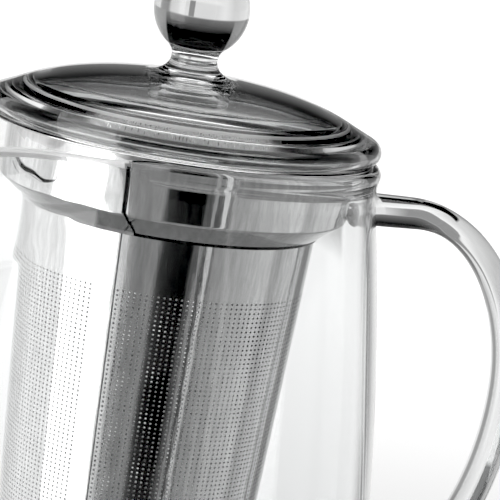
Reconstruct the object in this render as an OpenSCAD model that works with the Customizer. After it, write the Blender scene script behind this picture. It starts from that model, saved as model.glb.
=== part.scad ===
// Glass teapot of about one litre with a lift-out steel infuser and a domed glass lid.
// Millimetres. +Z is up, the pot's axis is the Z axis, and the base rests on z = 0.
// The handle points along +X and the pouring lip along -X.

/* [Glass pot] */
// Height of the rim above the table
rim_z = 132; // [120:1:145]
// Radius at the widest part of the belly
belly_r = 54.8; // [52:0.1:58]
// Height of the widest part of the belly
belly_z = 30; // [26:1:36]
// Outer radius of the neck just under the rim bead
neck_r = 43.3; // [43:0.1:44]
// Depth of the neck below the rim
neck_depth = 7; // [6:0.5:9]
// Exponent of the curve from the belly to the neck
wall_curve = 1.65; // [1.4:0.05:2]
// Thickness of the blown wall
wall = 2.2; // [1.6:0.1:2.6]
// Radial and vertical half sizes of the rounded corner at the base
corner_r = 13; // [10:1:16]
corner_h = 22; // [16:1:25]
// Thickness of the base
base_t = 3; // [2.4:0.1:4]
// Tube radius of the rounded rim bead
bead_r = 2.5; // [2.2:0.1:2.7]

/* [Pouring lip] */
// Half width of the lip where it leaves the rim
lip_half_w = 38; // [34:0.5:38]
// How far the lip reaches out past the neck
lip_reach = 25; // [18:0.5:28]
// Depth below the rim where the lip starts to swell out of the wall
lip_depth = 44; // [36:1:50]
// Drop of the lip's edge below the rim at its sides
lip_edge_drop = 1.2; // [0.8:0.1:2]
// Further drop of the edge at the tip
lip_tip_drop = 6; // [3:0.5:8]
// Height of the lip where it meets the rim bead
lip_side_h = 2.5; // [2:0.1:4]

/* [Handle] */
// Farthest reach of the handle's centre line from the axis
handle_reach = 87.2; // [84:0.2:92]
// Depth below the rim of the upper and the lower root
handle_top = 10.9; // [10:0.1:14]
handle_bottom = 101.8; // [92:0.2:104]
// Depth below the rim where the handle reaches farthest
handle_apex = 53; // [46:1:60]
// Radius at which the two quarter curves end and the straight roots begin
handle_root_r = 57; // [55:0.5:60]
// Thickness and width of the rod
handle_t = 6; // [5:0.1:7]
handle_w = 10.6; // [9:0.1:12]

/* [Infuser] */
// Sheet thickness of the infuser
sheet = 0.4; // [0.3:0.05:0.5]
// Outer radius of the collar's drum
drum_r = 37.7; // [37:0.1:37.9]
// Outer radius of the flange that hangs on the rim bead
flange_r = 41.7; // [41:0.1:42]
// Thickness of the flange
flange_t = 0.5; // [0.4:0.05:0.6]
// Depth of the drum and of the conical shoulder below the rim
drum_depth = 12.5; // [11:0.1:14]
shoulder_depth = 16.5; // [15.5:0.1:18]
// Outer radius at the foot of the conical shoulder
shoulder_r = 32.7; // [32.4:0.1:33]
// Outer radius of the perforated sleeve at its top and at its bottom
sleeve_top_r = 31.8; // [31:0.1:32]
sleeve_bottom_r = 26.7; // [25:0.1:28]
// Depth of the infuser's floor below the rim
infuser_depth = 112; // [100:1:116]

/* [Lid] */
// Outer radius of the lid's bead
lid_r = 42.9; // [42:0.1:43.5]
// Tube radius of the lid's bead
lid_bead_r = 2.35; // [2:0.05:2.6]
// Height of the dome's crown above the rim
dome_h = 13.3; // [12:0.1:16]
// Thickness of the dome
dome_t = 2.4; // [1.8:0.1:2.8]
// Outer radius, wall and depth below the rim of the ring that centres the lid
skirt_r = 36.3; // [35:0.1:36.6]
skirt_t = 2.2; // [1.6:0.1:2.6]
skirt_depth = 5; // [3:0.5:8]
// Radius of the ball and height of its centre above the rim
ball_r = 10.3; // [9:0.1:12]
ball_h = 27.7; // [26:0.1:30]
// Radius of the knob's waist, of its foot and of its fused root under the dome
waist_r = 5; // [4:0.1:6]
foot_r = 8.2; // [7.5:0.1:8.6]
root_r = 8.8; // [8:0.1:9]
// Radius of the hole in the dome that the knob is fused through
knob_hole_r = 6; // [5.5:0.1:6.5]

/* [Hidden] */
$fn = 96;
// Outline steps: the wall, a round corner, and the lip across and up
wall_steps = 20;
arc_steps = 10;
lip_cols = 32;
lip_rows = 12;
handle_rings = 44;
handle_sides = 24;

neck_z = rim_z - neck_depth;
bead_centre_r = neck_r + 0.3 - bead_r;
bead_centre_z = rim_z - bead_r;
inner_corner_r = corner_r - 1;
seat_z = rim_z + flange_t;
lid_bead_z = seat_z + lid_bead_r;
lid_bead_centre_r = lid_r - lid_bead_r;
dome_flat_r = 9;
lid_joint_angle = 75;
lid_under_angle = 24;
dome_square = 0.00259;
dome_fourth = 0.00000152;
root_h = 2.8;
skirt_bite = 0.6;
floor_lip_h = 4;
clear = 0.02;

// Outer radius of the pot's wall from the belly up to the neck
function wall_r(z) =
    belly_r - (belly_r - neck_r) * pow(max(0, z - belly_z) / (neck_z - belly_z), wall_curve);

// Points of the wall from the belly to just under the rim bead
function wall_points(inset) =
    [for (i = [0 : wall_steps])
        let (z = belly_z + (bead_centre_z - belly_z) * i / wall_steps)
            [wall_r(min(z, neck_z)) - inset, z]];

// A quarter ellipse from a level floor up to a vertical wall
function corner_points(r, z, half_r, half_h) =
    [for (i = [0 : arc_steps])
        let (a = 90 * i / arc_steps)
            [r - half_r + half_r * sin(a), z + half_h - half_h * cos(a)]];

// Half width of the lip's swelling is 1 at its middle and falls to 0 at its sides
function lip_share(y) =
    let (s = min(1, abs(y) / lip_half_w))
        0.5 * (1 - s) + 0.25 * (1 + cos(180 * s));
function smooth(t) = let (c = max(0, min(1, t))) c * c * (3 - 2 * c);
function lip_top(y) =
    rim_z - lip_edge_drop - lip_tip_drop * smooth(1.15 * lip_share(y) - 0.15);
function lip_bottom(y) =
    rim_z - lip_edge_drop - lip_side_h
    - (lip_depth - lip_edge_drop - lip_side_h) * cos(90 * y / lip_half_w);

// A point of the lip, at share t of the way from its lower border to its edge
function lip_point(y, t, inset) =
    let (z = lip_bottom(y) + t * (lip_top(y) - lip_bottom(y)),
         r = wall_r(min(z, neck_z)) - inset)
        [-sqrt(max(1, r * r - y * y)) - lip_reach * lip_share(y) * t * t, y, z];

module pot_body() {
    outer = concat([[0, 0]], corner_points(belly_r, 0, corner_r, corner_h), wall_points(0));
    inner = concat([[0, base_t]],
                   corner_points(belly_r - wall, base_t, inner_corner_r, corner_h - base_t),
                   wall_points(wall));
    color([0.93, 0.95, 0.96, 0.35])
    difference() {
        union() {
            rotate_extrude()
                polygon(concat(outer, [for (i = [len(inner) - 1 : -1 : 0]) inner[i]]));
            translate([0, 0, bead_centre_z])
                rotate_extrude()
                    translate([bead_centre_r, 0])
                        circle(r = bead_r);
        }
        lip_opening();
    }
}

// The part of the wall and bead that the pouring lip takes the place of
module lip_opening() {
    outline = concat([for (i = [0 : lip_cols])
                         let (y = lip_half_w * (2 * i / lip_cols - 1)) [y, lip_bottom(y)]],
                     [[lip_half_w, rim_z + 10], [-lip_half_w, rim_z + 10]]);
    translate([-belly_r - 20, 0, 0])
        rotate([90, 0, 90])
            linear_extrude(belly_r + 20 - 16)
                polygon(outline);
}

module pouring_lip() {
    row = lip_rows + 1;
    sheet_size = (lip_cols + 1) * row;
    points = [for (side = [0, wall], i = [0 : lip_cols], j = [0 : lip_rows])
                 lip_point(lip_half_w * (2 * i / lip_cols - 1), j / lip_rows, side)];
    outer_faces = [for (i = [0 : lip_cols - 1], j = [0 : lip_rows - 1])
                      let (k = i * row + j)
                          each [[k, k + 1, k + row + 1], [k, k + row + 1, k + row]]];
    inner_faces = [for (f = outer_faces)
                      [f[2] + sheet_size, f[1] + sheet_size, f[0] + sheet_size]];
    border = concat([for (j = [0 : lip_rows - 1]) j],
                    [for (i = [0 : lip_cols - 1]) i * row + lip_rows],
                    [for (j = [lip_rows : -1 : 1]) lip_cols * row + j],
                    [for (i = [lip_cols : -1 : 1]) i * row]);
    rim_faces = [for (n = [0 : len(border) - 1])
                    let (a = border[n], b = border[(n + 1) % len(border)])
                        each [[b, a, a + sheet_size], [b, a + sheet_size, b + sheet_size]]];
    color([0.93, 0.95, 0.96, 0.35])
        polyhedron(points = points, faces = concat(outer_faces, inner_faces, rim_faces));
}

// Centre line of the handle: a straight root, two quarter ellipses and a second root
function handle_path(t) =
    let (half = handle_reach - handle_root_r,
         a = 180 * (t - 0.08) / 0.84,
         rise = a < 90 ? handle_apex - handle_top : handle_bottom - handle_apex,
         root_in = t < 0.5 ? wall_r(rim_z - handle_top) - 1.2 : wall_r(rim_z - handle_bottom) - 1.2)
        t < 0.08 ? [root_in + (handle_root_r - root_in) * t / 0.08, rim_z - handle_top]
        : t > 0.92 ? [root_in + (handle_root_r - root_in) * (1 - t) / 0.08, rim_z - handle_bottom]
        : [handle_root_r + half * sin(a), rim_z - handle_apex + rise * cos(a)];

// The rod widens where it is fused to the wall
function handle_flare(t) =
    1 + 0.45 * pow(max(0, 1 - min(t, 1 - t) / 0.07), 2);

module handle() {
    points = [for (i = [0 : handle_rings])
                 let (t = i / handle_rings,
                      here = handle_path(t),
                      ahead = handle_path(min(1, t + 0.002)),
                      behind = handle_path(max(0, t - 0.002)),
                      along = (ahead - behind) / norm(ahead - behind),
                      grow = handle_flare(t))
                     each [for (k = [0 : handle_sides - 1])
                              let (a = 360 * k / handle_sides,
                                   out = grow * handle_t / 2 * cos(a))
                                  [here[0] + out * along[1], grow * handle_w / 2 * sin(a),
                                   here[1] - out * along[0]]]];
    last = handle_rings * handle_sides;
    tube = [for (i = [0 : handle_rings - 1], k = [0 : handle_sides - 1])
               let (a = i * handle_sides + k,
                    b = i * handle_sides + (k + 1) % handle_sides)
                   each [[a, b, b + handle_sides], [a, b + handle_sides, a + handle_sides]]];
    ends = [[for (k = [handle_sides - 1 : -1 : 0]) k],
            [for (k = [0 : handle_sides - 1]) last + k]];
    color([0.93, 0.95, 0.96, 0.35])
        polyhedron(points = points, faces = concat(tube, ends));
}

module infuser_collar() {
    drum_z = rim_z - drum_depth;
    foot_z = rim_z - shoulder_depth;
    spigot_z = foot_z - 1.2;
    outline = [[flange_r, rim_z], [flange_r, seat_z],
               [drum_r - sheet, seat_z], [drum_r - sheet, drum_z + 0.1],
               [shoulder_r - sheet, foot_z + sheet], [sleeve_top_r, foot_z + sheet],
               [sleeve_top_r, spigot_z], [sleeve_top_r + sheet, spigot_z],
               [sleeve_top_r + sheet, foot_z], [shoulder_r, foot_z],
               [drum_r, drum_z], [drum_r, rim_z]];
    color("silver")
        rotate_extrude()
            polygon(outline);
}

module infuser_sleeve() {
    top_z = rim_z - shoulder_depth;
    floor_z = rim_z - infuser_depth;
    color("gainsboro")
        rotate_extrude()
            polygon([[sleeve_top_r, top_z], [sleeve_top_r - sheet, top_z],
                     [sleeve_bottom_r - sheet, floor_z], [sleeve_bottom_r, floor_z]]);
}

module infuser_floor() {
    floor_z = rim_z - infuser_depth;
    taper = (sleeve_top_r - sleeve_bottom_r) / (infuser_depth - shoulder_depth);
    edge_r = sleeve_bottom_r - sheet - clear;
    color("gainsboro")
        rotate_extrude()
            polygon([[0, floor_z], [edge_r, floor_z],
                     [edge_r + taper * floor_lip_h, floor_z + floor_lip_h],
                     [edge_r + taper * floor_lip_h - sheet, floor_z + floor_lip_h],
                     [edge_r - sheet, floor_z + sheet], [0, floor_z + sheet]]);
}

// Height of the dome's outer surface
function dome_z(r) =
    rim_z + dome_h - (r <= dome_flat_r ? 0
        : dome_square * (pow(r, 2) - pow(dome_flat_r, 2))
          + dome_fourth * (pow(r, 4) - pow(dome_flat_r, 4)));

module lid_dome() {
    joint_r = lid_bead_centre_r - lid_bead_r * cos(lid_joint_angle);
    under_r = lid_bead_centre_r - lid_bead_r * cos(lid_under_angle);
    top = [for (i = [0 : wall_steps])
              let (r = dome_flat_r + (joint_r - dome_flat_r) * i / wall_steps)
                  [r, dome_z(r)]];
    under = [for (i = [wall_steps - 1 : -1 : 0])
                let (r = dome_flat_r + (under_r - dome_flat_r) * i / wall_steps)
                    [r, dome_z(r) - dome_t]];
    sweep = 360 - lid_joint_angle + lid_under_angle;
    bead = [for (i = [0 : 3 * arc_steps])
               let (a = 180 - lid_joint_angle - sweep * i / (3 * arc_steps))
                   [lid_bead_centre_r + lid_bead_r * cos(a), lid_bead_z + lid_bead_r * sin(a)]];
    color([0.93, 0.95, 0.96, 0.35])
        rotate_extrude()
            polygon(concat([[knob_hole_r, rim_z + dome_h]], top, bead, under,
                           [[knob_hole_r, rim_z + dome_h - dome_t]]));
}

module lid_skirt() {
    inner_r = skirt_r - skirt_t;
    color([0.93, 0.95, 0.96, 0.35])
        rotate_extrude()
            union() {
                polygon([[inner_r, rim_z - skirt_depth + skirt_t / 2],
                         [skirt_r, rim_z - skirt_depth + skirt_t / 2],
                         [skirt_r, dome_z(skirt_r) - dome_t + skirt_bite],
                         [inner_r, dome_z(inner_r) - dome_t + skirt_bite]]);
                translate([skirt_r - skirt_t / 2, rim_z - skirt_depth + skirt_t / 2])
                    circle(r = skirt_t / 2);
            }
}

// Outline of the ball from its top round to the waist
function ball_points() =
    let (last_angle = acos(waist_r / ball_r))
        [for (i = [0 : 2 * arc_steps])
            let (a = 90 - (90 + last_angle) * i / (2 * arc_steps))
                [ball_r * cos(a), rim_z + ball_h + ball_r * sin(a)]];

// A hollow curve from the waist down to the foot
function foot_points() =
    let (waist_z = rim_z + ball_h - ball_r - 0.4,
         foot_z = rim_z + dome_h)
        [for (i = [0 : arc_steps])
            let (a = 90 * i / arc_steps)
                [waist_r + (foot_r - waist_r) * (1 - cos(a)),
                 waist_z - (waist_z - foot_z) * sin(a)]];

module lid_knob() {
    under_z = rim_z + dome_h - dome_t;
    rounding = 1.2;
    root = [for (i = [0 : arc_steps])
               let (a = 90 * i / arc_steps)
                   [root_r - rounding + rounding * cos(a),
                    under_z - root_h + rounding - rounding * sin(a)]];
    color([0.93, 0.95, 0.96, 0.35])
        rotate_extrude()
            polygon(concat(ball_points(), foot_points(),
                           [[knob_hole_r, rim_z + dome_h], [knob_hole_r, under_z],
                            [root_r, under_z]],
                           root, [[0, under_z - root_h]]));
}

pot_body();
pouring_lip();
handle();
infuser_collar();
infuser_sleeve();
infuser_floor();
lid_dome();
lid_skirt();
lid_knob();
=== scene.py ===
"""Looks of a glass teapot with a steel infuser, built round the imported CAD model.

Lengths are in metres. Heights named from the rim are written as millimetres times MM.
Angles called azimuth are measured round the pot from the side that faces the camera,
positive towards the right of the picture.
"""
import math

import bmesh
import bpy
import numpy as np
from mathutils import Matrix, Vector


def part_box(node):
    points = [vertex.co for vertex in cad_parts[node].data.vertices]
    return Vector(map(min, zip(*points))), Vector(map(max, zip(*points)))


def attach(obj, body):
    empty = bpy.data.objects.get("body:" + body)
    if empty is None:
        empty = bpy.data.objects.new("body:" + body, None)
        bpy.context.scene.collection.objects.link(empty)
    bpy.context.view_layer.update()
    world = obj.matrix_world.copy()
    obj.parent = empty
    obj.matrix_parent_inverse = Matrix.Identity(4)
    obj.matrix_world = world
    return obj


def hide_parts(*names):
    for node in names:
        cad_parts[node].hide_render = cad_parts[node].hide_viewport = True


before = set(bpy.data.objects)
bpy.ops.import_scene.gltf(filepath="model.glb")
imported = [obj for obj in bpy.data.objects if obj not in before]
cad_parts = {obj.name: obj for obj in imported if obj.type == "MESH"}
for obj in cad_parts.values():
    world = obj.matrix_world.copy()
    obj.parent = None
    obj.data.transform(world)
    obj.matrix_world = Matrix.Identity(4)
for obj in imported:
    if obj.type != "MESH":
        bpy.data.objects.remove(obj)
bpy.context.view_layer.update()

MM = 0.001
SHARP_ANGLE = math.radians(35)

# ---------------------------------------------------------------- driving sizes
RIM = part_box("pot_body")[1].z
BELLY_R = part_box("pot_body")[1].x
BELLY_Z = 30 * MM
NECK_R = 43.3 * MM
NECK_DROP = 7 * MM
WALL_CURVE = 1.65
WALL = 2.2 * MM
CORNER_R, CORNER_H = 13 * MM, 22 * MM
BASE_T = 3 * MM
BEAD_R = 1.9 * MM
# How far under the rim, or under the lip's edge, the plain wall ends and rim_sections begins
RIM_PROFILE_DEPTH = 7.2 * MM

LIP_HALF_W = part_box("pouring_lip")[1].y
LIP_REACH = -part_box("pouring_lip")[0].x - NECK_R
LIP_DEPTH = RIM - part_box("pouring_lip")[0].z
LIP_EDGE_DROP = 1.2 * MM
LIP_TIP_DROP = 6 * MM
LIP_SIDE_H = 2.5 * MM
# The lip's rounded edge is painted pale, as painted light for the bright band it shows: the band's
# height, and the share of the lip's width that has it
LIP_LIGHT_H, LIP_LIGHT_SHARE = 1.2 * MM, 0.97

HANDLE_T, HANDLE_W = 6.2 * MM, 10.6 * MM
HANDLE_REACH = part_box("handle")[1].x - HANDLE_T / 2
HANDLE_TOP, HANDLE_APEX, HANDLE_BOTTOM = 11.9 * MM, 53 * MM, 101.8 * MM
HANDLE_ROOT_R = 57 * MM
# Share of the handle's length that is straight at each root, and that is flared and thickened
HANDLE_STRAIGHT, HANDLE_FLARED, HANDLE_THICKENED = 0.08, 0.02, 0.2
# Growth of the rod in the flare, and of its thickness towards the roots
HANDLE_FLARE, HANDLE_THICKER = 0.35, 0.16
# Exponent of the rod's section: 1 is an ellipse, less is squarer
HANDLE_SQUARE = 0.9

SHEET = 0.4 * MM
DRUM_R = 37.7 * MM
FLANGE_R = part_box("infuser_collar")[1].x
DRUM_DEPTH, SHOULDER_DEPTH = 12.5 * MM, 16.5 * MM
SHOULDER_R = 32.7 * MM
SLEEVE_TOP_R, SLEEVE_BOTTOM_R = 31.8 * MM, 26.7 * MM
INFUSER_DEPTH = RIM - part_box("infuser_sleeve")[0].z
HOLE_R = 0.25 * MM
HOLE_PITCH = 1.0 * MM
HOLES_ROUND = 161
# Depth of the first row of holes below the rim
HOLES_START = 29.4 * MM
HOLE_ROWS = 77
SLEEVE_BANDS = ("upper", "middle", "lower")

LID_BEAD_R = 2.35 * MM
LID_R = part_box("lid_dome")[1].x
DOME_T = 2.4 * MM
SKIRT_R, SKIRT_T, SKIRT_DEPTH = 36.3 * MM, 2.2 * MM, 5 * MM
# The fillet between dome and centring ring is painted pale, as a painted highlight for the bright ring
# it shows: its inner radius, its heights above the rim
FILLET_LIGHT_INSIDE, FILLET_LIGHT_BOTTOM, FILLET_LIGHT_TOP = 32 * MM, 2.4 * MM, 5.4 * MM
BALL_R = 10.3 * MM
BALL_H = 27.7 * MM

# Camera: where it stands, where it looks, its roll and its lens. Its own azimuth starts at -Y
CAMERA_AZIMUTH = math.radians(-18)
CAMERA_DISTANCE = 489.8 * MM
CAMERA_ABOVE_RIM = 70.3 * MM
AIM_RIGHT, AIM_BELOW_RIM = 18.3 * MM, 22.6 * MM
CAMERA_ROLL = math.radians(9.14)
CAMERA_LENS = 165.0

# The view shows this tone and every darker one as black
BLACK_LEVEL = 0.045

# The sleeve's lapped seam, with the width of the painted shadow along the lap's edge, and the collar's
# crease, whose dark line is painted shade
SEAM_AZIMUTH = math.radians(-16.4)
COLLAR_SEAM_AZIMUTH = math.radians(-14)
SEAM_COLUMNS = 4
SEAM_STEP = 0.15 * MM
LAP_SHADOW_W = 0.28 * MM
CREASE_HALF_W = 0.4 * MM


def towards(azimuth):
    """Level unit vector at an azimuth measured from the camera's side of the pot."""
    a = CAMERA_AZIMUTH + azimuth
    return Vector((math.sin(a), -math.cos(a), 0))


def smooth(t):
    t = np.clip(t, 0, 1)
    return t * t * (3 - 2 * t)


# ---------------------------------------------------------------- mesh helpers
def make_object(name, verts, faces):
    mesh = bpy.data.meshes.new(name)
    mesh.from_pydata([tuple(v) for v in verts], [], faces)
    mesh.validate()
    mesh.shade_smooth()
    mesh.set_sharp_from_angle(angle=SHARP_ANGLE)
    obj = bpy.data.objects.new(name, mesh)
    bpy.context.scene.collection.objects.link(obj)
    return obj


def ring_faces(rows, cols, closed_rows=False):
    """Quads of a grid of rows, each a closed ring of cols points."""
    faces = []
    for i in range(rows if closed_rows else rows - 1):
        j = (i + 1) % rows
        for k in range(cols):
            m = (k + 1) % cols
            faces.append((i * cols + k, i * cols + m, j * cols + m, j * cols + k))
    return faces


def close_on_axis(points):
    """Vertices and faces of rings whose first and last are points on the axis."""
    rows, cols = len(points) - 2, points.shape[1]
    verts = [points[0, 0], *points[1:-1].reshape(-1, 3), points[-1, 0]]
    faces = [tuple(i + 1 for i in f) for f in ring_faces(rows, cols)]
    last = len(verts) - 1
    start = 1 + (rows - 1) * cols
    for k in range(cols):
        m = (k + 1) % cols
        faces.append((0, 1 + m, 1 + k))
        faces.append((last, start + k, start + m))
    return verts, faces


def revolve(name, profile, cols=256, on_axis=True, shape=None):
    """Turns a profile of (radius, height) round the axis. shape bends the rings."""
    angles = np.linspace(0, 2 * math.pi, cols, endpoint=False)
    r = np.array([p[0] for p in profile])[:, None] * np.ones(cols)
    z = np.array([p[1] for p in profile])[:, None] * np.ones(cols)
    if shape:
        r, z = shape(r, z, angles)
    points = np.stack([r * np.cos(angles), r * np.sin(angles), z], axis=2)
    if on_axis:
        verts, faces = close_on_axis(points)
    else:
        verts = points.reshape(-1, 3)
        faces = ring_faces(len(profile), cols, closed_rows=True)
    return make_object(name, verts, faces)


def rounded(corners, steps=8):
    """A path past corners (radius, height, fillet): a curve cuts off each corner with a fillet."""
    path = []
    for i, (x, y, fillet) in enumerate(corners):
        here = Vector((x, y))
        if fillet == 0 or i in (0, len(corners) - 1):
            path.append((x, y))
            continue
        to_last = Vector(corners[i - 1][:2]) - here
        to_next = Vector(corners[i + 1][:2]) - here
        half = to_last.angle(to_next) / 2
        reach = min(fillet / math.tan(half), 0.49 * to_last.length, 0.49 * to_next.length)
        a = here + to_last.normalized() * reach
        b = here + to_next.normalized() * reach
        for k in range(steps + 1):
            t = k / steps
            path.append(tuple((1 - t) ** 2 * a + 2 * t * (1 - t) * here + t * t * b))
    return path


def densify(path, step):
    """Adds points so that no stretch of the path is longer than step."""
    out = [path[0]]
    for a, b in zip(path, path[1:]):
        n = max(1, math.ceil(math.dist(a, b) / step))
        out += [tuple(np.array(a) + (np.array(b) - np.array(a)) * k / n) for k in range(1, n + 1)]
    return out


def thicken(path, thickness):
    """A closed outline round an open centre line, with half-round ends."""
    p = np.array(path)
    along = np.gradient(p, axis=0)
    along /= np.linalg.norm(along, axis=1)[:, None]
    side = np.stack([-along[:, 1], along[:, 0]], axis=1) * thickness / 2
    left, right = p + side, (p - side)[::-1]

    def end(centre, start_side, direction):
        return [centre + start_side * math.cos(a) + direction * thickness / 2 * math.sin(a)
                for a in (math.pi * k / 5 for k in range(1, 5))]

    return [tuple(q) for q in [*left, *end(p[-1], side[-1], along[-1]),
                               *right, *end(p[0], -side[0], -along[0])]]


# ---------------------------------------------------------------- glass pot
def wall_r(z):
    """Outer radius of the wall: straight at the belly, then curving in towards the neck."""
    rise = np.clip((z - BELLY_Z) / (RIM - NECK_DROP - BELLY_Z), 0, 1)
    return BELLY_R - (BELLY_R - NECK_R) * rise ** WALL_CURVE


def lip_share(y):
    """The share of the lip's reach at a distance y from its middle: 1 there, 0 at its sides."""
    soft = 4 * MM
    s = np.clip((np.sqrt(y * y + soft * soft) - soft) / (LIP_HALF_W - 0.4 * soft), 0, 1)
    end = smooth((1 - s) / 0.3)
    return 0.5 * (1 - s) * end + 0.25 * (1 + np.cos(math.pi * s))


def lip_top(y):
    """Height of the lip's edge, lowest at the tip."""
    return RIM - LIP_EDGE_DROP - LIP_TIP_DROP * smooth(1.15 * lip_share(y) - 0.15)


def lip_bottom(y):
    """Height at which the lip starts to leave the wall, lowest in the middle."""
    s = np.clip(y / LIP_HALF_W, -1, 1)
    drop = (LIP_DEPTH - LIP_EDGE_DROP - LIP_SIDE_H) * np.cos(math.pi / 2 * s)
    return RIM - LIP_EDGE_DROP - LIP_SIDE_H - drop


def swell(r, z, psi):
    """How far the lip pushes a point of the wall out along -X. psi is measured from -X."""
    y = r * np.sin(psi)
    t = np.clip((z - lip_bottom(y)) / (lip_top(y) - lip_bottom(y)), 0, 1.2)
    return np.where(np.abs(psi) < math.pi / 2, LIP_REACH * lip_share(y) * t * t, 0)


def rim_sections():
    """The rim's cross-section away from the lip and on the lip, from outside to inside.

    Both are (radius from the neck's outside, height from the rim's top) at the same steps.
    """
    steps = 26
    angles = np.radians(np.linspace(-18, 222, steps))
    bead = [(0.3 * MM - BEAD_R + BEAD_R * math.cos(a), -BEAD_R + BEAD_R * math.sin(a))
            for a in angles]
    outside = [(0, -RIM_PROFILE_DEPTH), (-0.05 * MM, -5.9 * MM), (-0.08 * MM, -4.8 * MM),
               (-0.02 * MM, -3.7 * MM)]
    inside = [(-2.75 * MM, -3.9 * MM), (-2.4 * MM, -4.7 * MM), (-2.25 * MM, -5.8 * MM),
              (-WALL, -RIM_PROFILE_DEPTH)]
    edge_r = 0.9 * MM
    edge_middle = 1.1 * MM
    half_turn = np.radians(np.linspace(0, 180, steps))
    edge = [(-edge_middle + edge_r * math.cos(a), -edge_r + edge_r * math.sin(a))
            for a in half_turn]
    down = [-RIM_PROFILE_DEPTH, -5 * MM, -3.4 * MM, -1.8 * MM]
    taper = [0.0, 0.0, 0.02 * MM, 0.08 * MM]
    edge_outside = [(-t, d) for t, d in zip(taper, down)]
    edge_inside = [(-WALL + 2 * t, d) for t, d in zip(taper[::-1], down[::-1])]
    return np.array(outside + bead + inside), np.array(edge_outside + edge + edge_inside)


def pot_shell():
    """The blown wall, its rim bead and the pouring lip as one closed surface."""
    cols = 344
    angles = np.linspace(0, 2 * math.pi, cols, endpoint=False)
    psi = angles - math.pi
    y_rim = NECK_R * np.sin(psi)
    away = np.where(np.abs(psi) < math.pi / 2,
                    smooth((np.abs(psi) - math.radians(52)) / math.radians(16)), 1.0)
    edge_z = (1 - away) * lip_top(y_rim) + away * RIM
    bead, edge = rim_sections()
    rows_r, rows_z = [], []

    def level(r, z):
        rows_r.append(np.full(cols, float(r)))
        rows_z.append(np.full(cols, float(z)))

    def wall(inset, upward):
        shares = np.linspace(0, 1, 90, endpoint=False)
        for s in shares if upward else shares[::-1]:
            z = CORNER_H + (edge_z - RIM_PROFILE_DEPTH - CORNER_H) * s
            rows_r.append(wall_r(z) - inset)
            rows_z.append(z)

    foot_r = BELLY_R - CORNER_R
    for share, lift in ((0, 0.7), (0.3, 0.65), (0.6, 0.4), (0.78, 0.12), (0.88, 0)):
        level(foot_r * share, lift * MM)
    for a in np.radians(np.linspace(0, 90, 20, endpoint=False)):
        level(foot_r + CORNER_R * math.sin(a), CORNER_H * (1 - math.cos(a)))
    wall(0, True)
    for b, e in zip(bead, edge):
        rows_r.append(NECK_R + away * b[0] + (1 - away) * e[0])
        rows_z.append(edge_z + away * b[1] + (1 - away) * e[1])
    wall(WALL, False)
    inner_foot_r = BELLY_R - CORNER_R - WALL + 1 * MM
    for a in np.radians(np.linspace(90, 0, 20)[1:]):
        level(inner_foot_r + (CORNER_R - 1 * MM) * math.sin(a),
              BASE_T + (CORNER_H - BASE_T) * (1 - math.cos(a)))
    for share, lift in ((0.8, 0.1), (0.5, 0.35), (0.2, 0.5), (0, 0.5)):
        level(inner_foot_r * share, BASE_T + lift * MM)
    r, z = np.array(rows_r), np.array(rows_z)
    push = swell(r, z, psi)
    points = np.stack([-(r * np.cos(psi) + push), -r * np.sin(psi), z], axis=2)
    verts, faces = close_on_axis(points)
    return make_object("pot_glass", verts, faces)


def paint_lip_light(obj):
    """Gives the rounded edge of the pouring lip the second material, the paler glass that is painted
    light.
    """
    for face in obj.data.polygons:
        x, y, z = face.center
        on_lip = x < 0 and abs(y) < LIP_LIGHT_SHARE * LIP_HALF_W and math.hypot(x, y) > NECK_R - WALL
        # Painted light: the top of the lip's edge gets the pale glass
        if on_lip and z > lip_top(y) - LIP_LIGHT_H:
            face.material_index = 1


def handle_point(t):
    """Centre line of the handle as (distance from the axis, height) at share t."""
    half = HANDLE_REACH - HANDLE_ROOT_R
    straight = HANDLE_STRAIGHT
    a = math.pi * (t - straight) / (1 - 2 * straight)
    rise = HANDLE_APEX - HANDLE_TOP if a < math.pi / 2 else HANDLE_BOTTOM - HANDLE_APEX
    depth = HANDLE_TOP if t < 0.5 else HANDLE_BOTTOM
    root = float(wall_r(RIM - depth)) - 1.2 * MM
    if t < straight:
        return Vector((root + (HANDLE_ROOT_R - root) * t / straight, RIM - HANDLE_TOP))
    if t > 1 - straight:
        return Vector((root + (HANDLE_ROOT_R - root) * (1 - t) / straight, RIM - HANDLE_BOTTOM))
    return Vector((HANDLE_ROOT_R + half * math.sin(a), RIM - HANDLE_APEX + rise * math.cos(a)))


def handle_rod():
    """The solid rod of the handle, flared where it is fused to the wall."""
    rings, sides = 220, 48
    points = np.zeros((rings + 1, sides, 3))
    for i in range(rings + 1):
        t = i / rings
        here = handle_point(t)
        along = (handle_point(min(1, t + 0.004)) - handle_point(max(0, t - 0.004))).normalized()
        to_root = min(t, 1 - t)
        thick = HANDLE_T * (1 + HANDLE_THICKER * smooth(1 - to_root / HANDLE_THICKENED))
        grow = 1 + HANDLE_FLARE * max(0, 1 - to_root / HANDLE_FLARED) ** 2
        for k in range(sides):
            a = 2 * math.pi * k / sides
            out, across = (math.copysign(abs(v) ** HANDLE_SQUARE, v)
                           for v in (math.cos(a), math.sin(a)))
            out *= grow * thick / 2
            points[i, k] = (here.x + out * along.y, grow * HANDLE_W / 2 * across,
                            here.y - out * along.x)
    faces = ring_faces(rings + 1, sides)
    faces.append(tuple(range(sides))[::-1])
    faces.append(tuple(rings * sides + k for k in range(sides)))
    return make_object("handle_rod", points.reshape(-1, 3), faces)


def fix_normals(obj):
    """Turns every face outwards."""
    bm = bmesh.new()
    bm.from_mesh(obj.data)
    bmesh.ops.recalc_face_normals(bm, faces=bm.faces)
    bm.to_mesh(obj.data)
    bm.free()


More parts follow.
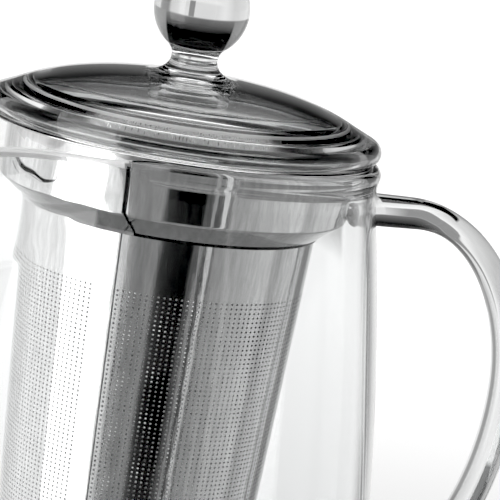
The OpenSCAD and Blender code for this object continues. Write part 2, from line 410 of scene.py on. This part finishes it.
def fuse(base, other):
    """Joins other into base as one closed solid, and removes other."""
    fix_normals(base)
    fix_normals(other)
    cut = base.modifiers.new("fuse", "BOOLEAN")
    cut.operation = "UNION"
    cut.solver = "EXACT"
    cut.object = other
    dg = bpy.context.evaluated_depsgraph_get()
    fused = bpy.data.meshes.new_from_object(base.evaluated_get(dg))
    base.modifiers.clear()
    base.data = fused
    bpy.data.objects.remove(other)
    fused.shade_smooth()
    fused.set_sharp_from_angle(angle=SHARP_ANGLE)


# ---------------------------------------------------------------- glass lid
def dome_z(r):
    """Height of the dome's outside, on a curve that steepens outwards."""
    return RIM + 13.45 * MM - 2.59 * r * r - 1520 * r ** 4


def lid_profile():
    """From the top of the ball down the outside, round the bead and back underneath."""
    path = [(0, RIM + BALL_H + BALL_R)]
    for a in np.radians(np.linspace(88, -55, 48)):
        path.append((BALL_R * math.cos(a), RIM + BALL_H + BALL_R * math.sin(a)))
    for r, h in ((5.25, 18.35), (5.0, 17.5), (5.0, 16.7), (5.25, 15.8), (5.8, 14.95),
                 (6.7, 14.2), (7.9, 13.6), (9.3, 13.3)):
        path.append((r * MM, RIM + h * MM))
    path += [(r * MM, dome_z(r * MM)) for r in np.linspace(10.5, 37.4, 40)]
    bead_r = LID_R - LID_BEAD_R
    bead_z = RIM + 0.5 * MM + LID_BEAD_R
    for a in np.radians(np.linspace(63, -170, 48)):
        path.append((bead_r + LID_BEAD_R * math.cos(a), bead_z + LID_BEAD_R * math.sin(a)))

    def under(r):
        return dome_z(r * MM) - DOME_T

    inner = SKIRT_R - SKIRT_T
    foot = RIM - SKIRT_DEPTH
    corners = [(37.9 * MM, under(37.9), 0), (SKIRT_R, under(36.3) - 0.2 * MM, 1.2 * MM),
               (SKIRT_R, foot, 1.05 * MM), (inner, foot, 1.05 * MM),
               (inner, under(34.1), 2.6 * MM), (30 * MM, under(30), 0)]
    path += rounded(corners)
    path += [(r * MM, under(r)) for r in np.linspace(29, 11, 24)]
    root_z = RIM + 8.1 * MM
    path += rounded([(10.4 * MM, under(10.4), 0), (8.8 * MM, under(8.8), 0.8 * MM),
                     (8.8 * MM, root_z, 1.2 * MM), (5 * MM, root_z, 1 * MM),
                     (0, root_z + 0.5 * MM, 0)])
    return path


def paint_lid_highlight(obj):
    """Gives the fillet between the dome and the centring ring the second material, the paler glass
    that is a painted highlight.
    """
    for face in obj.data.polygons:
        x, y, z = face.center
        r = math.hypot(x, y)
        on_fillet = FILLET_LIGHT_INSIDE < r < SKIRT_R - SKIRT_T + 0.05 * MM
        # Painted highlight: a band of the fillet gets the pale glass
        if on_fillet and FILLET_LIGHT_BOTTOM < z - RIM < FILLET_LIGHT_TOP and face.normal.z < 0.2:
            face.material_index = 1


# ---------------------------------------------------------------- steel infuser
def collar():
    """The drawn collar: flange, drum, conical shoulder and the spigot round the sleeve."""
    half = SHEET / 2
    top = RIM + 0.05 * MM + half
    line = rounded([(FLANGE_R - half, top, 0), (DRUM_R - half, top, 0.9 * MM),
                    (DRUM_R - half, RIM - DRUM_DEPTH, 0.7 * MM),
                    (SHOULDER_R - half, RIM - SHOULDER_DEPTH, 0.5 * MM),
                    (SLEEVE_TOP_R + half, RIM - SHOULDER_DEPTH - 0.75 * MM, 0)])
    outline = thicken(densify(line, 1.5 * MM), SHEET)

    def crease(r, z, angles):
        groove = np.exp(-(crease_offset(angles, RIM - z) / (0.6 * CREASE_HALF_W)) ** 2)
        on_drum = smooth((RIM - 1.5 * MM - z) / (1.5 * MM)) * smooth((z - RIM + 15 * MM) / (3 * MM))
        return r - 0.06 * MM * groove * on_drum, z

    return revolve("infuser_collar_steel", outline, cols=1000, on_axis=False, shape=crease)


def crease_offset(angle, depth):
    """How far round the drum a place is from the crease, which turns aside at its foot."""
    seam = CAMERA_AZIMUTH + COLLAR_SEAM_AZIMUTH - math.pi / 2
    off = (angle - seam + math.pi) % (2 * math.pi) - math.pi
    foot = np.clip((depth - DRUM_DEPTH + 1 * MM) / (5 * MM), 0, 1)
    return off * DRUM_R - 1.7 * MM * foot


def paint_collar(obj):
    """Gives the collar its materials.

    The crease and the gap under the shoulder get the second, a near-black painted shade, and the
    inside and the top of the flange get the third, a dark steel that is painted shade.
    """
    for face in obj.data.polygons:
        x, y, z = face.center
        outward = Vector((x, y, 0)).normalized()
        depth = RIM - z
        off = crease_offset(math.atan2(y, x), depth)
        in_crease_shade = abs(off) < CREASE_HALF_W
        shade_under_shoulder = off > 0 and depth > SHOULDER_DEPTH + 0.35 * MM
        facing = face.normal.dot(outward)
        # Painted shade: a dark line in the crease and in the gap under the shoulder
        if facing > 0.3 and depth > 1.5 * MM and (in_crease_shade or shade_under_shoulder):
            face.material_index = 1
        # Painted shade: the inside and the flange's top are darkened
        elif facing < -0.3 or face.normal.z > 0.7:
            face.material_index = 2


def sleeve_r(depth):
    """Outer radius of the sleeve, which narrows evenly downwards."""
    share = (depth - SHOULDER_DEPTH) / (INFUSER_DEPTH - SHOULDER_DEPTH)
    return SLEEVE_TOP_R + (SLEEVE_BOTTOM_R - SLEEVE_TOP_R) * share


def sleeve_point(along, depth, inset):
    """A point of the sleeve at an angle past the seam, a depth below the rim and an inset."""
    r = sleeve_r(depth) - inset
    plain = SEAM_COLUMNS * 2 * math.pi / HOLES_ROUND
    r = r + SEAM_STEP * smooth((along - 2 * math.pi + plain) / plain)
    a = CAMERA_AZIMUTH + SEAM_AZIMUTH - math.pi / 2 + along
    return r * np.cos(a), r * np.sin(a), RIM - depth


def sheet_mesh(name, point, u_cells, v_cells, has_hole, hole_r, radius):
    """A rolled sheet with four-sided cells, each plain or with an eight-sided hole through it.

    point(u, v, inset) gives a place, for u as an angle and v as a length. u_cells and v_cells
    are the cells' borders. radius(v) is the radius that the angle is measured on.
    """
    nu, nv = len(u_cells), len(v_cells)
    verts, faces = [], []
    for inset in (0, SHEET):
        for v in v_cells:
            for u in u_cells:
                verts.append(point(u, v, inset))
    layer = nu * nv
    sides = 8
    for j in range(nv - 1):
        for i in range(nu - 1):
            a = j * nu + i
            square = (a, a + 1, a + nu + 1, a + nu)
            if not has_hole(i, j):
                faces.append(square)
                faces.append(tuple(q + layer for q in square[::-1]))
                continue
            cu, cv = (u_cells[i] + u_cells[i + 1]) / 2, (v_cells[j] + v_cells[j + 1]) / 2
            turn_r = radius(cv)
            start = len(verts)
            for inset in (0, SHEET):
                for k in range(sides):
                    turn = 2 * math.pi * k / sides - 3 * math.pi / 4
                    verts.append(point(cu + hole_r * math.cos(turn) / turn_r,
                                       cv + hole_r * math.sin(turn), inset))
            for side in range(4):
                n = (side + 1) % 4
                k = 2 * side
                ring = [start + (k + 2) % sides, start + k + 1, start + k]
                faces.append((square[side], square[n], *ring))
                back = [q + sides for q in ring[::-1]]
                faces.append((square[n] + layer, square[side] + layer, *back))
            for k in range(sides):
                m = (k + 1) % sides
                faces.append((start + k, start + m, start + sides + m, start + sides + k))
    edge = [(i, i + 1) for i in range(nu - 1)]
    edge += [(nu * j + nu - 1, nu * (j + 1) + nu - 1) for j in range(nv - 1)]
    edge += [(nu * (nv - 1) + i + 1, nu * (nv - 1) + i) for i in range(nu - 1)]
    edge += [(nu * (j + 1), nu * j) for j in range(nv - 1)]
    faces += [(b, a, a + layer, b + layer) for a, b in edge]
    return make_object(name, verts, faces)


def sleeve_bands():
    """The rolled and welded sleeve, in bands one above the other."""
    pitch = 2 * math.pi / HOLES_ROUND
    columns = HOLES_ROUND - SEAM_COLUMNS
    lap_cells = 6
    u = [k * pitch for k in range(columns + 1)]
    # The narrow last column before the seam carries the painted shadow along the lap's edge
    shadow_strip = LAP_SHADOW_W / SLEEVE_TOP_R
    u += [u[-1] + (2 * math.pi - shadow_strip - u[-1]) * k / lap_cells for k in range(1, lap_cells + 1)]
    u.append(2 * math.pi)
    count = len(SLEEVE_BANDS)
    bands = []
    for n, name in enumerate(SLEEVE_BANDS):
        first = round(HOLE_ROWS * n / count)
        last = round(HOLE_ROWS * (n + 1) / count)
        v = [HOLES_START - HOLE_PITCH / 2 + k * HOLE_PITCH for k in range(first, last + 1)]
        before = after = 0
        if n == 0:
            plain = np.linspace(SHOULDER_DEPTH - 0.2 * MM, v[0], 8)[:-1]
            v, before = [*plain, *v], len(plain)
        if n == count - 1:
            plain = np.linspace(v[-1], INFUSER_DEPTH, 5)[1:]
            v, after = [*v, *plain], len(plain)
        last_row = len(v) - 1 - after
        bands.append(sheet_mesh(
            "infuser_sleeve_" + name, sleeve_point, u, v,
            lambda i, j, b=before, e=last_row: i < columns and b <= j < e,
            HOLE_R, sleeve_r))
    return bands


def paint_sleeve(obj):
    """Gives the faces that look towards the axis the second material, with painted light and shade,
    and the strip along the lap's edge the third, a painted shadow.
    """
    seam = CAMERA_AZIMUTH + SEAM_AZIMUTH - math.pi / 2
    for face in obj.data.polygons:
        x, y, z = face.center
        outward = Vector((x, y, 0)).normalized()
        before_seam = (seam - math.atan2(y, x)) % (2 * math.pi)
        if face.normal.dot(outward) < -0.5:
            face.material_index = 1
        # Painted shadow: a narrow strip along the edge of the outer lap
        elif before_seam < 0.9 * LAP_SHADOW_W / SLEEVE_TOP_R:
            face.material_index = 2


def infuser_floor():
    """The pressed floor: a plain disc with an upturned edge."""
    z = RIM - INFUSER_DEPTH
    edge_r = SLEEVE_BOTTOM_R - SHEET - 0.05 * MM
    half = SHEET / 2
    line = rounded([(0, z + half, 0), (edge_r - half, z + half, 1.2 * MM),
                    (edge_r - half + 0.2 * MM, z + 4 * MM, 0)])
    outline = thicken(densify(line, 1 * MM), SHEET)
    # The half-round end that lies past the axis is left out
    left_of_axis = -0.1 * half
    profile = [(max(r, 0), h) for r, h in outline if r > left_of_axis]
    return revolve("infuser_floor_steel", profile, cols=128)


# ---------------------------------------------------------------- materials
# Over what height glass calms down, and how much of its waviness is left
CALM_FADE, CALM_SHARE = 4 * MM, 0.1
# Painted shade: over what height the inner steel darkens towards the top, and how much of its tone is
# left
PAINTED_SHADE_FADE, PAINTED_SHADE_SHARE = 8 * MM, 0.06


class Nodes:
    """Short calls for building a node tree."""

    def __init__(self, tree):
        self.tree = tree
        self.tree.nodes.clear()

    def add(self, kind, **settings):
        node = self.tree.nodes.new("ShaderNode" + kind)
        for key, value in settings.items():
            setattr(node, key, value)
        return node

    def join(self, source, target):
        self.tree.links.new(source, target)

    def math(self, operation, a, b=None, c=None, clamp=False):
        node = self.add("Math", operation=operation, use_clamp=clamp)
        for socket, value in zip(node.inputs, (a, b, c)):
            if value is None:
                continue
            if isinstance(value, (int, float)):
                socket.default_value = value
            else:
                self.join(value, socket)
        return node.outputs[0]


def dress(obj, *materials):
    """Gives a piece its material slots, in order."""
    for material in materials:
        obj.data.materials.append(material)


def new_material(name):
    material = bpy.data.materials.new(name)
    material.use_nodes = True
    return material, Nodes(material.node_tree)


def wave_bump(n, scale, stretch, strength, distance, calm_above):
    """A bump from slow noise in object space, which fades out above a height."""
    place = n.add("TexCoord")
    mapping = n.add("Mapping")
    mapping.inputs["Scale"].default_value = stretch
    n.join(place.outputs["Object"], mapping.inputs["Vector"])
    noise = n.add("TexNoise")
    noise.inputs["Scale"].default_value = scale
    noise.inputs["Detail"].default_value = 2.0
    n.join(mapping.outputs[0], noise.inputs["Vector"])
    bump = n.add("Bump")
    bump.inputs["Strength"].default_value = strength
    bump.inputs["Distance"].default_value = distance
    height = noise.outputs["Fac"]
    if calm_above:
        split = n.add("SeparateXYZ")
        n.join(place.outputs["Object"], split.inputs[0])
        fade = n.add("MapRange", interpolation_type="SMOOTHSTEP")
        limits = (calm_above, calm_above + CALM_FADE, 1, CALM_SHARE)
        for socket, value in zip(fade.inputs[1:5], limits):
            socket.default_value = value
        n.join(split.outputs[2], fade.inputs[0])
        height = n.math("MULTIPLY", height, fade.outputs[0])
    n.join(height, bump.inputs["Height"])
    return bump.outputs[0]


def glass_material(name, scale, strength, density, stretch=(1, 1, 1), calm_above=None):
    """Clear glass with a slow waviness, less of it above a height. Lamps shine through it."""
    material, n = new_material(name)
    normal = wave_bump(n, scale, stretch, strength, 0.2 * MM, calm_above)
    glass = n.add("BsdfPrincipled")
    glass.inputs["Base Color"].default_value = (0.985, 0.99, 0.99, 1)
    glass.inputs["Transmission Weight"].default_value = 1
    glass.inputs["IOR"].default_value = 1.47
    glass.inputs["Roughness"].default_value = 0.0
    n.join(normal, glass.inputs["Normal"])
    clear = n.add("BsdfTransparent")
    clear.inputs["Color"].default_value = (0.93, 0.93, 0.93, 1)
    path = n.add("LightPath")
    mix = n.add("MixShader")
    n.join(path.outputs["Is Shadow Ray"], mix.inputs[0])
    n.join(glass.outputs[0], mix.inputs[1])
    n.join(clear.outputs[0], mix.inputs[2])
    out = n.add("OutputMaterial")
    n.join(mix.outputs[0], out.inputs["Surface"])
    depth = n.add("VolumeAbsorption")
    depth.inputs["Color"].default_value = (0.5, 0.5, 0.5, 1)
    depth.inputs["Density"].default_value = density
    n.join(depth.outputs[0], out.inputs["Volume"])
    return material


def painted_light_glass_material():
    """Glass that is paler than clear glass: painted light for the bright band on the lip's edge and a
    painted highlight on the lid's fillet.
    """
    material, n = new_material("painted_light_edge_glass")
    normal = wave_bump(n, 60, (1, 1, 1), 0.2, 0.2 * MM, None)
    glass = n.add("BsdfPrincipled")
    glass.inputs["Base Color"].default_value = (0.96, 0.96, 0.96, 1)
    glass.inputs["Transmission Weight"].default_value = 0.5
    glass.inputs["IOR"].default_value = 1.47
    glass.inputs["Roughness"].default_value = 0.3
    n.join(normal, glass.inputs["Normal"])
    n.join(glass.outputs[0], n.add("OutputMaterial").inputs["Surface"])
    return material


def steel_material(name, tone, rough, lines, painted_shade_above=None):
    """Polished stainless steel with fine drawn lines that run down the surface.

    lines is how deep the drawn lines are, as a length. Above the height given last, the steel is
    painted darker, as painted shade.
    """
    material, n = new_material(name)
    place = n.add("TexCoord")
    level = n.add("Mapping")
    level.inputs["Scale"].default_value = (1, 1, 0)
    n.join(place.outputs["Object"], level.inputs["Vector"])
    around = n.add("VectorMath", operation="NORMALIZE")
    n.join(level.outputs[0], around.inputs[0])
    along = n.add("Mapping")
    along.inputs["Scale"].default_value = (0, 0, 4)
    n.join(place.outputs["Object"], along.inputs["Vector"])
    both = n.add("VectorMath", operation="ADD")
    n.join(around.outputs[0], both.inputs[0])
    n.join(along.outputs[0], both.inputs[1])
    noise = n.add("TexNoise")
    noise.inputs["Scale"].default_value = 34
    noise.inputs["Detail"].default_value = 4
    noise.inputs["Roughness"].default_value = 0.6
    n.join(both.outputs[0], noise.inputs["Vector"])
    gloss = n.add("MapRange")
    shade = n.add("MapRange")
    for node, low, high in ((gloss, rough * 0.6, rough * 1.4), (shade, tone * 0.88, tone * 1.1)):
        for socket, value in zip(node.inputs[1:5], (0.3, 0.7, low, high)):
            socket.default_value = value
        n.join(noise.outputs["Fac"], node.inputs["Value"])
    bump = n.add("Bump")
    bump.inputs["Strength"].default_value = 1.0
    bump.inputs["Distance"].default_value = lines
    n.join(noise.outputs["Fac"], bump.inputs["Height"])
    steel = n.add("BsdfPrincipled")
    steel.inputs["Metallic"].default_value = 1
    colour = shade.outputs[0]
    # Painted shade: the tone fades to a small share above the given height
    if painted_shade_above:
        split = n.add("SeparateXYZ")
        n.join(place.outputs["Object"], split.inputs[0])
        fade = n.add("MapRange", interpolation_type="SMOOTHSTEP")
        limits = (painted_shade_above - PAINTED_SHADE_FADE, painted_shade_above, 1, PAINTED_SHADE_SHARE)
        for socket, value in zip(fade.inputs[1:5], limits):
            socket.default_value = value
        n.join(split.outputs[2], fade.inputs[0])
        colour = n.math("MULTIPLY", colour, fade.outputs[0])
    n.join(colour, steel.inputs["Base Color"])
    n.join(gloss.outputs[0], steel.inputs["Roughness"])
    n.join(bump.outputs[0], steel.inputs["Normal"])
    n.join(steel.outputs[0], n.add("OutputMaterial").inputs["Surface"])
    return material


# ---------------------------------------------------------------- studio
# Brightness of the studio round the pot: (azimuth in degrees, brightness), from behind by the
# left to the camera's side at 0, and by the right to behind
STUDIO = [(-180, 1.0), (-160, 1.0), (-150, 0.8), (-128, 0.95), (-118, 1.2), (-86, 1.2), (-82, 1.4),
          (-40, 1.35), (-30, 1.05), (-28, 0.42), (-14, 0.36), (-6, 0.45), (-2, 0.1), (6, 0.04),
          (20, 0.02), (22, 0.17), (30, 0.15), (37, 0.2), (40, 0.48), (60, 0.64),
          (90, 0.92), (98, 0.55), (103, 0.7), (110, 0.82), (133, 0.85), (137, 0.35), (149, 0.3),
          (153, 0.65), (168, 0.9), (180, 1.0)]


def studio_world():
    """A white studio as seen from the pot, with its panels and its dark room."""
    world = bpy.data.worlds.new("studio")
    bpy.context.scene.world = world
    world.use_nodes = True
    n = Nodes(world.node_tree)
    place = n.add("TexCoord")
    split = n.add("SeparateXYZ")
    n.join(place.outputs["Generated"], split.inputs[0])
    x, y, z = split.outputs
    front, right = towards(0), towards(math.pi / 2)
    along = n.math("MULTIPLY_ADD", x, front.x, n.math("MULTIPLY", y, front.y))
    across = n.math("MULTIPLY_ADD", x, right.x, n.math("MULTIPLY", y, right.y))
    azimuth = n.math("ARCTAN2", across, along)
    height = n.math("ARCSINE", z)

    def band(value, low, high, soft):
        """1 where an angle lies between low and high degrees, with soft edges."""
        s = 1 / math.radians(soft)
        middle, half = math.radians(low + high) / 2, math.radians(high - low) / 2
        off = n.math("ABSOLUTE", n.math("SUBTRACT", value, middle))
        return n.math("MULTIPLY_ADD", off, -s, half * s + 0.5, clamp=True)

    def blend(base, mask, bright):
        gap = n.math("SUBTRACT", bright, base)
        return n.math("MULTIPLY_ADD", mask, gap, base)

    brightest = max(b for _, b in STUDIO)
    ramp = n.add("ValToRGB")
    stops = ramp.color_ramp.elements
    while len(stops) > 1:
        stops.remove(stops[0])
    stops[0].position = 1
    stops[0].color = (*[STUDIO[-1][1] / brightest] * 3, 1)
    for angle, bright in STUDIO[:-1]:
        stops.new(angle / 360 + 0.5).color = (*[bright / brightest] * 3, 1)
    n.join(n.math("MULTIPLY_ADD", azimuth, 0.5 / math.pi, 0.5), ramp.inputs[0])
    value = n.math("MULTIPLY", ramp.outputs[0], brightest)
    # Behind the pot: a pale backdrop over the far edge of the table
    lateral = n.math("ARCSINE", across)
    backdrop = n.math("MULTIPLY", band(lateral, -16, 16, 6), n.math("LESS_THAN", along, 0))
    table = n.add("MapRange")
    for socket, setting in zip(table.inputs[1:5], (math.radians(-17.5), math.radians(-11), 0.8, 1.05)):
        socket.default_value = setting
    n.join(height, table.inputs[0])
    value = blend(value, backdrop, table.outputs[0])
    value = blend(value, n.math("MULTIPLY", backdrop, band(height, -9, 2.5, 2)), 0.9)
    # All round: darker far down, and above the backdrop. 177 degrees is past the zenith
    value = blend(value, band(height, -90, -30, 20), 0.35)
    value = blend(value, band(height, 2.5, 177, 1.5), 0.35)
    # Above the backdrop: a dark room, darker with height
    dark = n.add("MapRange")
    for socket, setting in zip(dark.inputs[1:5], (math.radians(3), math.radians(16), 0.24, 0.02)):
        socket.default_value = setting
    n.join(height, dark.inputs[0])
    room = n.math("MULTIPLY", band(lateral, -33, 33, 2), band(height, 3, 50, 1.5))
    room = n.math("MULTIPLY", room, n.math("LESS_THAN", along, 0))
    value = blend(value, room, dark.outputs[0])
    # Behind the handle: a narrow strip in three stretches, the middle one dark
    beside = n.math("MULTIPLY", band(lateral, 5.2, 9.5, 0.6), n.math("LESS_THAN", along, 0))
    for low, high, bright in ((-60, -34, 0.8), (-34, -18.5, 0.02), (-9.5, 2.5, 0.36)):
        value = blend(value, n.math("MULTIPLY", beside, band(height, low, high, 1)), bright)
    # On the left a soft box, on the right three narrow bars, and a lamp overhead
    softbox = n.math("MULTIPLY", band(azimuth, -82, -40, 1), band(height, -45, 45, 2))
    value = blend(value, softbox, 3.0)
    for low, high, bright in ((26, 28.5, 0.5), (32.5, 36, 0.95), (38.5, 40.5, 0.5)):
        bar = n.math("MULTIPLY", band(azimuth, low, high, 0.7), band(height, -45, 40, 2))
        value = blend(value, bar, bright)
    value = blend(value, band(height, 50, 130, 6), 2.2)
    back = n.add("Background")
    n.join(value, back.inputs["Color"])
    n.join(back.outputs[0], n.add("OutputWorld").inputs["Surface"])


def floor():
    """A large pale table top that glows, more away from the camera: painted light, as from a lamp
    behind the pot.
    """
    side = 30.0
    obj = make_object("studio_floor", [(-side, -side, 0), (side, -side, 0), (side, side, 0),
                                       (-side, side, 0)], [(0, 1, 2, 3)])
    material, n = new_material("pale_table_painted_light")
    place = n.add("TexCoord")
    split = n.add("SeparateXYZ")
    n.join(place.outputs["Object"], split.inputs[0])
    x, y, z = split.outputs
    behind = towards(math.pi)
    along = n.math("MULTIPLY_ADD", x, behind.x, n.math("MULTIPLY", y, behind.y))
    # Painted light: the table's glow grows away from the camera
    fade = n.add("MapRange", interpolation_type="SMOOTHSTEP")
    for socket, value in zip(fade.inputs[1:5], (0.0, 0.45, 0.3, 0.72)):
        socket.default_value = value
    n.join(along, fade.inputs[0])
    shader = n.add("BsdfPrincipled")
    shader.inputs["Base Color"].default_value = (0.35, 0.35, 0.35, 1)
    shader.inputs["Roughness"].default_value = 0.6
    shader.inputs["Emission Color"].default_value = (1, 1, 1, 1)
    n.join(fade.outputs[0], shader.inputs["Emission Strength"])
    n.join(shader.outputs[0], n.add("OutputMaterial").inputs["Surface"])
    obj.data.materials.append(material)
    # The world has a pale table of its own for reflections and for what shows through glass
    obj.visible_glossy = False
    obj.visible_transmission = False


def camera():
    data = bpy.data.cameras.new("camera")
    data.sensor_width = 36
    data.lens = CAMERA_LENS
    data.clip_start, data.clip_end = 0.01, 100
    obj = bpy.data.objects.new("camera", data)
    bpy.context.scene.collection.objects.link(obj)
    bpy.context.scene.camera = obj
    place = towards(0) * CAMERA_DISTANCE + Vector((0, 0, RIM + CAMERA_ABOVE_RIM))
    aim = towards(math.pi / 2) * AIM_RIGHT + Vector((0, 0, RIM - AIM_BELOW_RIM))
    ahead = (aim - place).normalized()
    right = ahead.cross(Vector((0, 0, 1))).normalized()
    up = right.cross(ahead)
    c, s = math.cos(CAMERA_ROLL), math.sin(CAMERA_ROLL)
    right, up = c * right + s * up, c * up - s * right
    turn = Matrix((right, up, -ahead)).transposed().to_4x4()
    obj.matrix_world = Matrix.Translation(place) @ turn


# ---------------------------------------------------------------- build
camera()
studio_world()
floor()
cycles = bpy.context.scene.cycles
cycles.max_bounces = cycles.transmission_bounces = 40
cycles.glossy_bounces = 12
view = bpy.context.scene.view_settings
view.view_transform = "Standard"
view.use_curve_mapping = True
view.curve_mapping.black_level = (BLACK_LEVEL, BLACK_LEVEL, BLACK_LEVEL)

pot_glass = glass_material("pot_glass", scale=22, strength=0.12, density=20)
lid_glass = glass_material("lid_glass", scale=30, strength=0.2, density=18, stretch=(1, 1, 2),
                           calm_above=RIM + 12 * MM)
collar_steel = steel_material("collar_steel", 0.7, 0.04, 0.008 * MM)
sleeve_steel = steel_material("sleeve_steel", 0.63, 0.06, 0.012 * MM)
# Painted light and shade: the sleeve's inside is paler than its outside deep down, as if lit through
# the holes, and painted darker towards the top
inside_steel_lit_and_shaded = steel_material("inside_steel_lit_and_shaded", 0.92, 0.4, 0.03 * MM, painted_shade_above=RIM - 27 * MM)
# Painted shade: dark steel for the collar's inside and the flange's top
drum_inside_painted_shade = steel_material("drum_inside_painted_shade", 0.2, 0.12, 0.02 * MM)
# Painted shadow: dark steel for the strip along the lap's edge
lap_shadow_steel = steel_material("lap_shadow_steel", 0.16, 0.3, 0.03 * MM)
# Painted shade: near-black steel for the crease and the gap under the shoulder
crease_shade_steel = steel_material("crease_shade_steel", 0.05, 0.3, 0.03 * MM)
# Painted light: pale glass for the lip's edge and the lid's fillet
painted_light_glass = painted_light_glass_material()

pot = pot_shell()
fuse(pot, handle_rod())
dress(pot, pot_glass, painted_light_glass)
paint_lip_light(pot)
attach(pot, "pot")
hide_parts("pot_body", "pouring_lip", "handle")

lid = revolve("lid_glass", lid_profile(), cols=320)
fix_normals(lid)
dress(lid, lid_glass, painted_light_glass)
paint_lid_highlight(lid)
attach(lid, "lid")
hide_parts("lid_dome", "lid_skirt", "lid_knob")

ring = collar()
fix_normals(ring)
dress(ring, collar_steel, crease_shade_steel, drum_inside_painted_shade)
paint_collar(ring)
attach(ring, "infuser")
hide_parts("infuser_collar")

for band in sleeve_bands():
    fix_normals(band)
    dress(band, sleeve_steel, inside_steel_lit_and_shaded, lap_shadow_steel)
    paint_sleeve(band)
    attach(band, "infuser")
    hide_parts("infuser_sleeve")

disc = infuser_floor()
fix_normals(disc)
dress(disc, sleeve_steel)
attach(disc, "infuser")
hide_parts("infuser_floor")
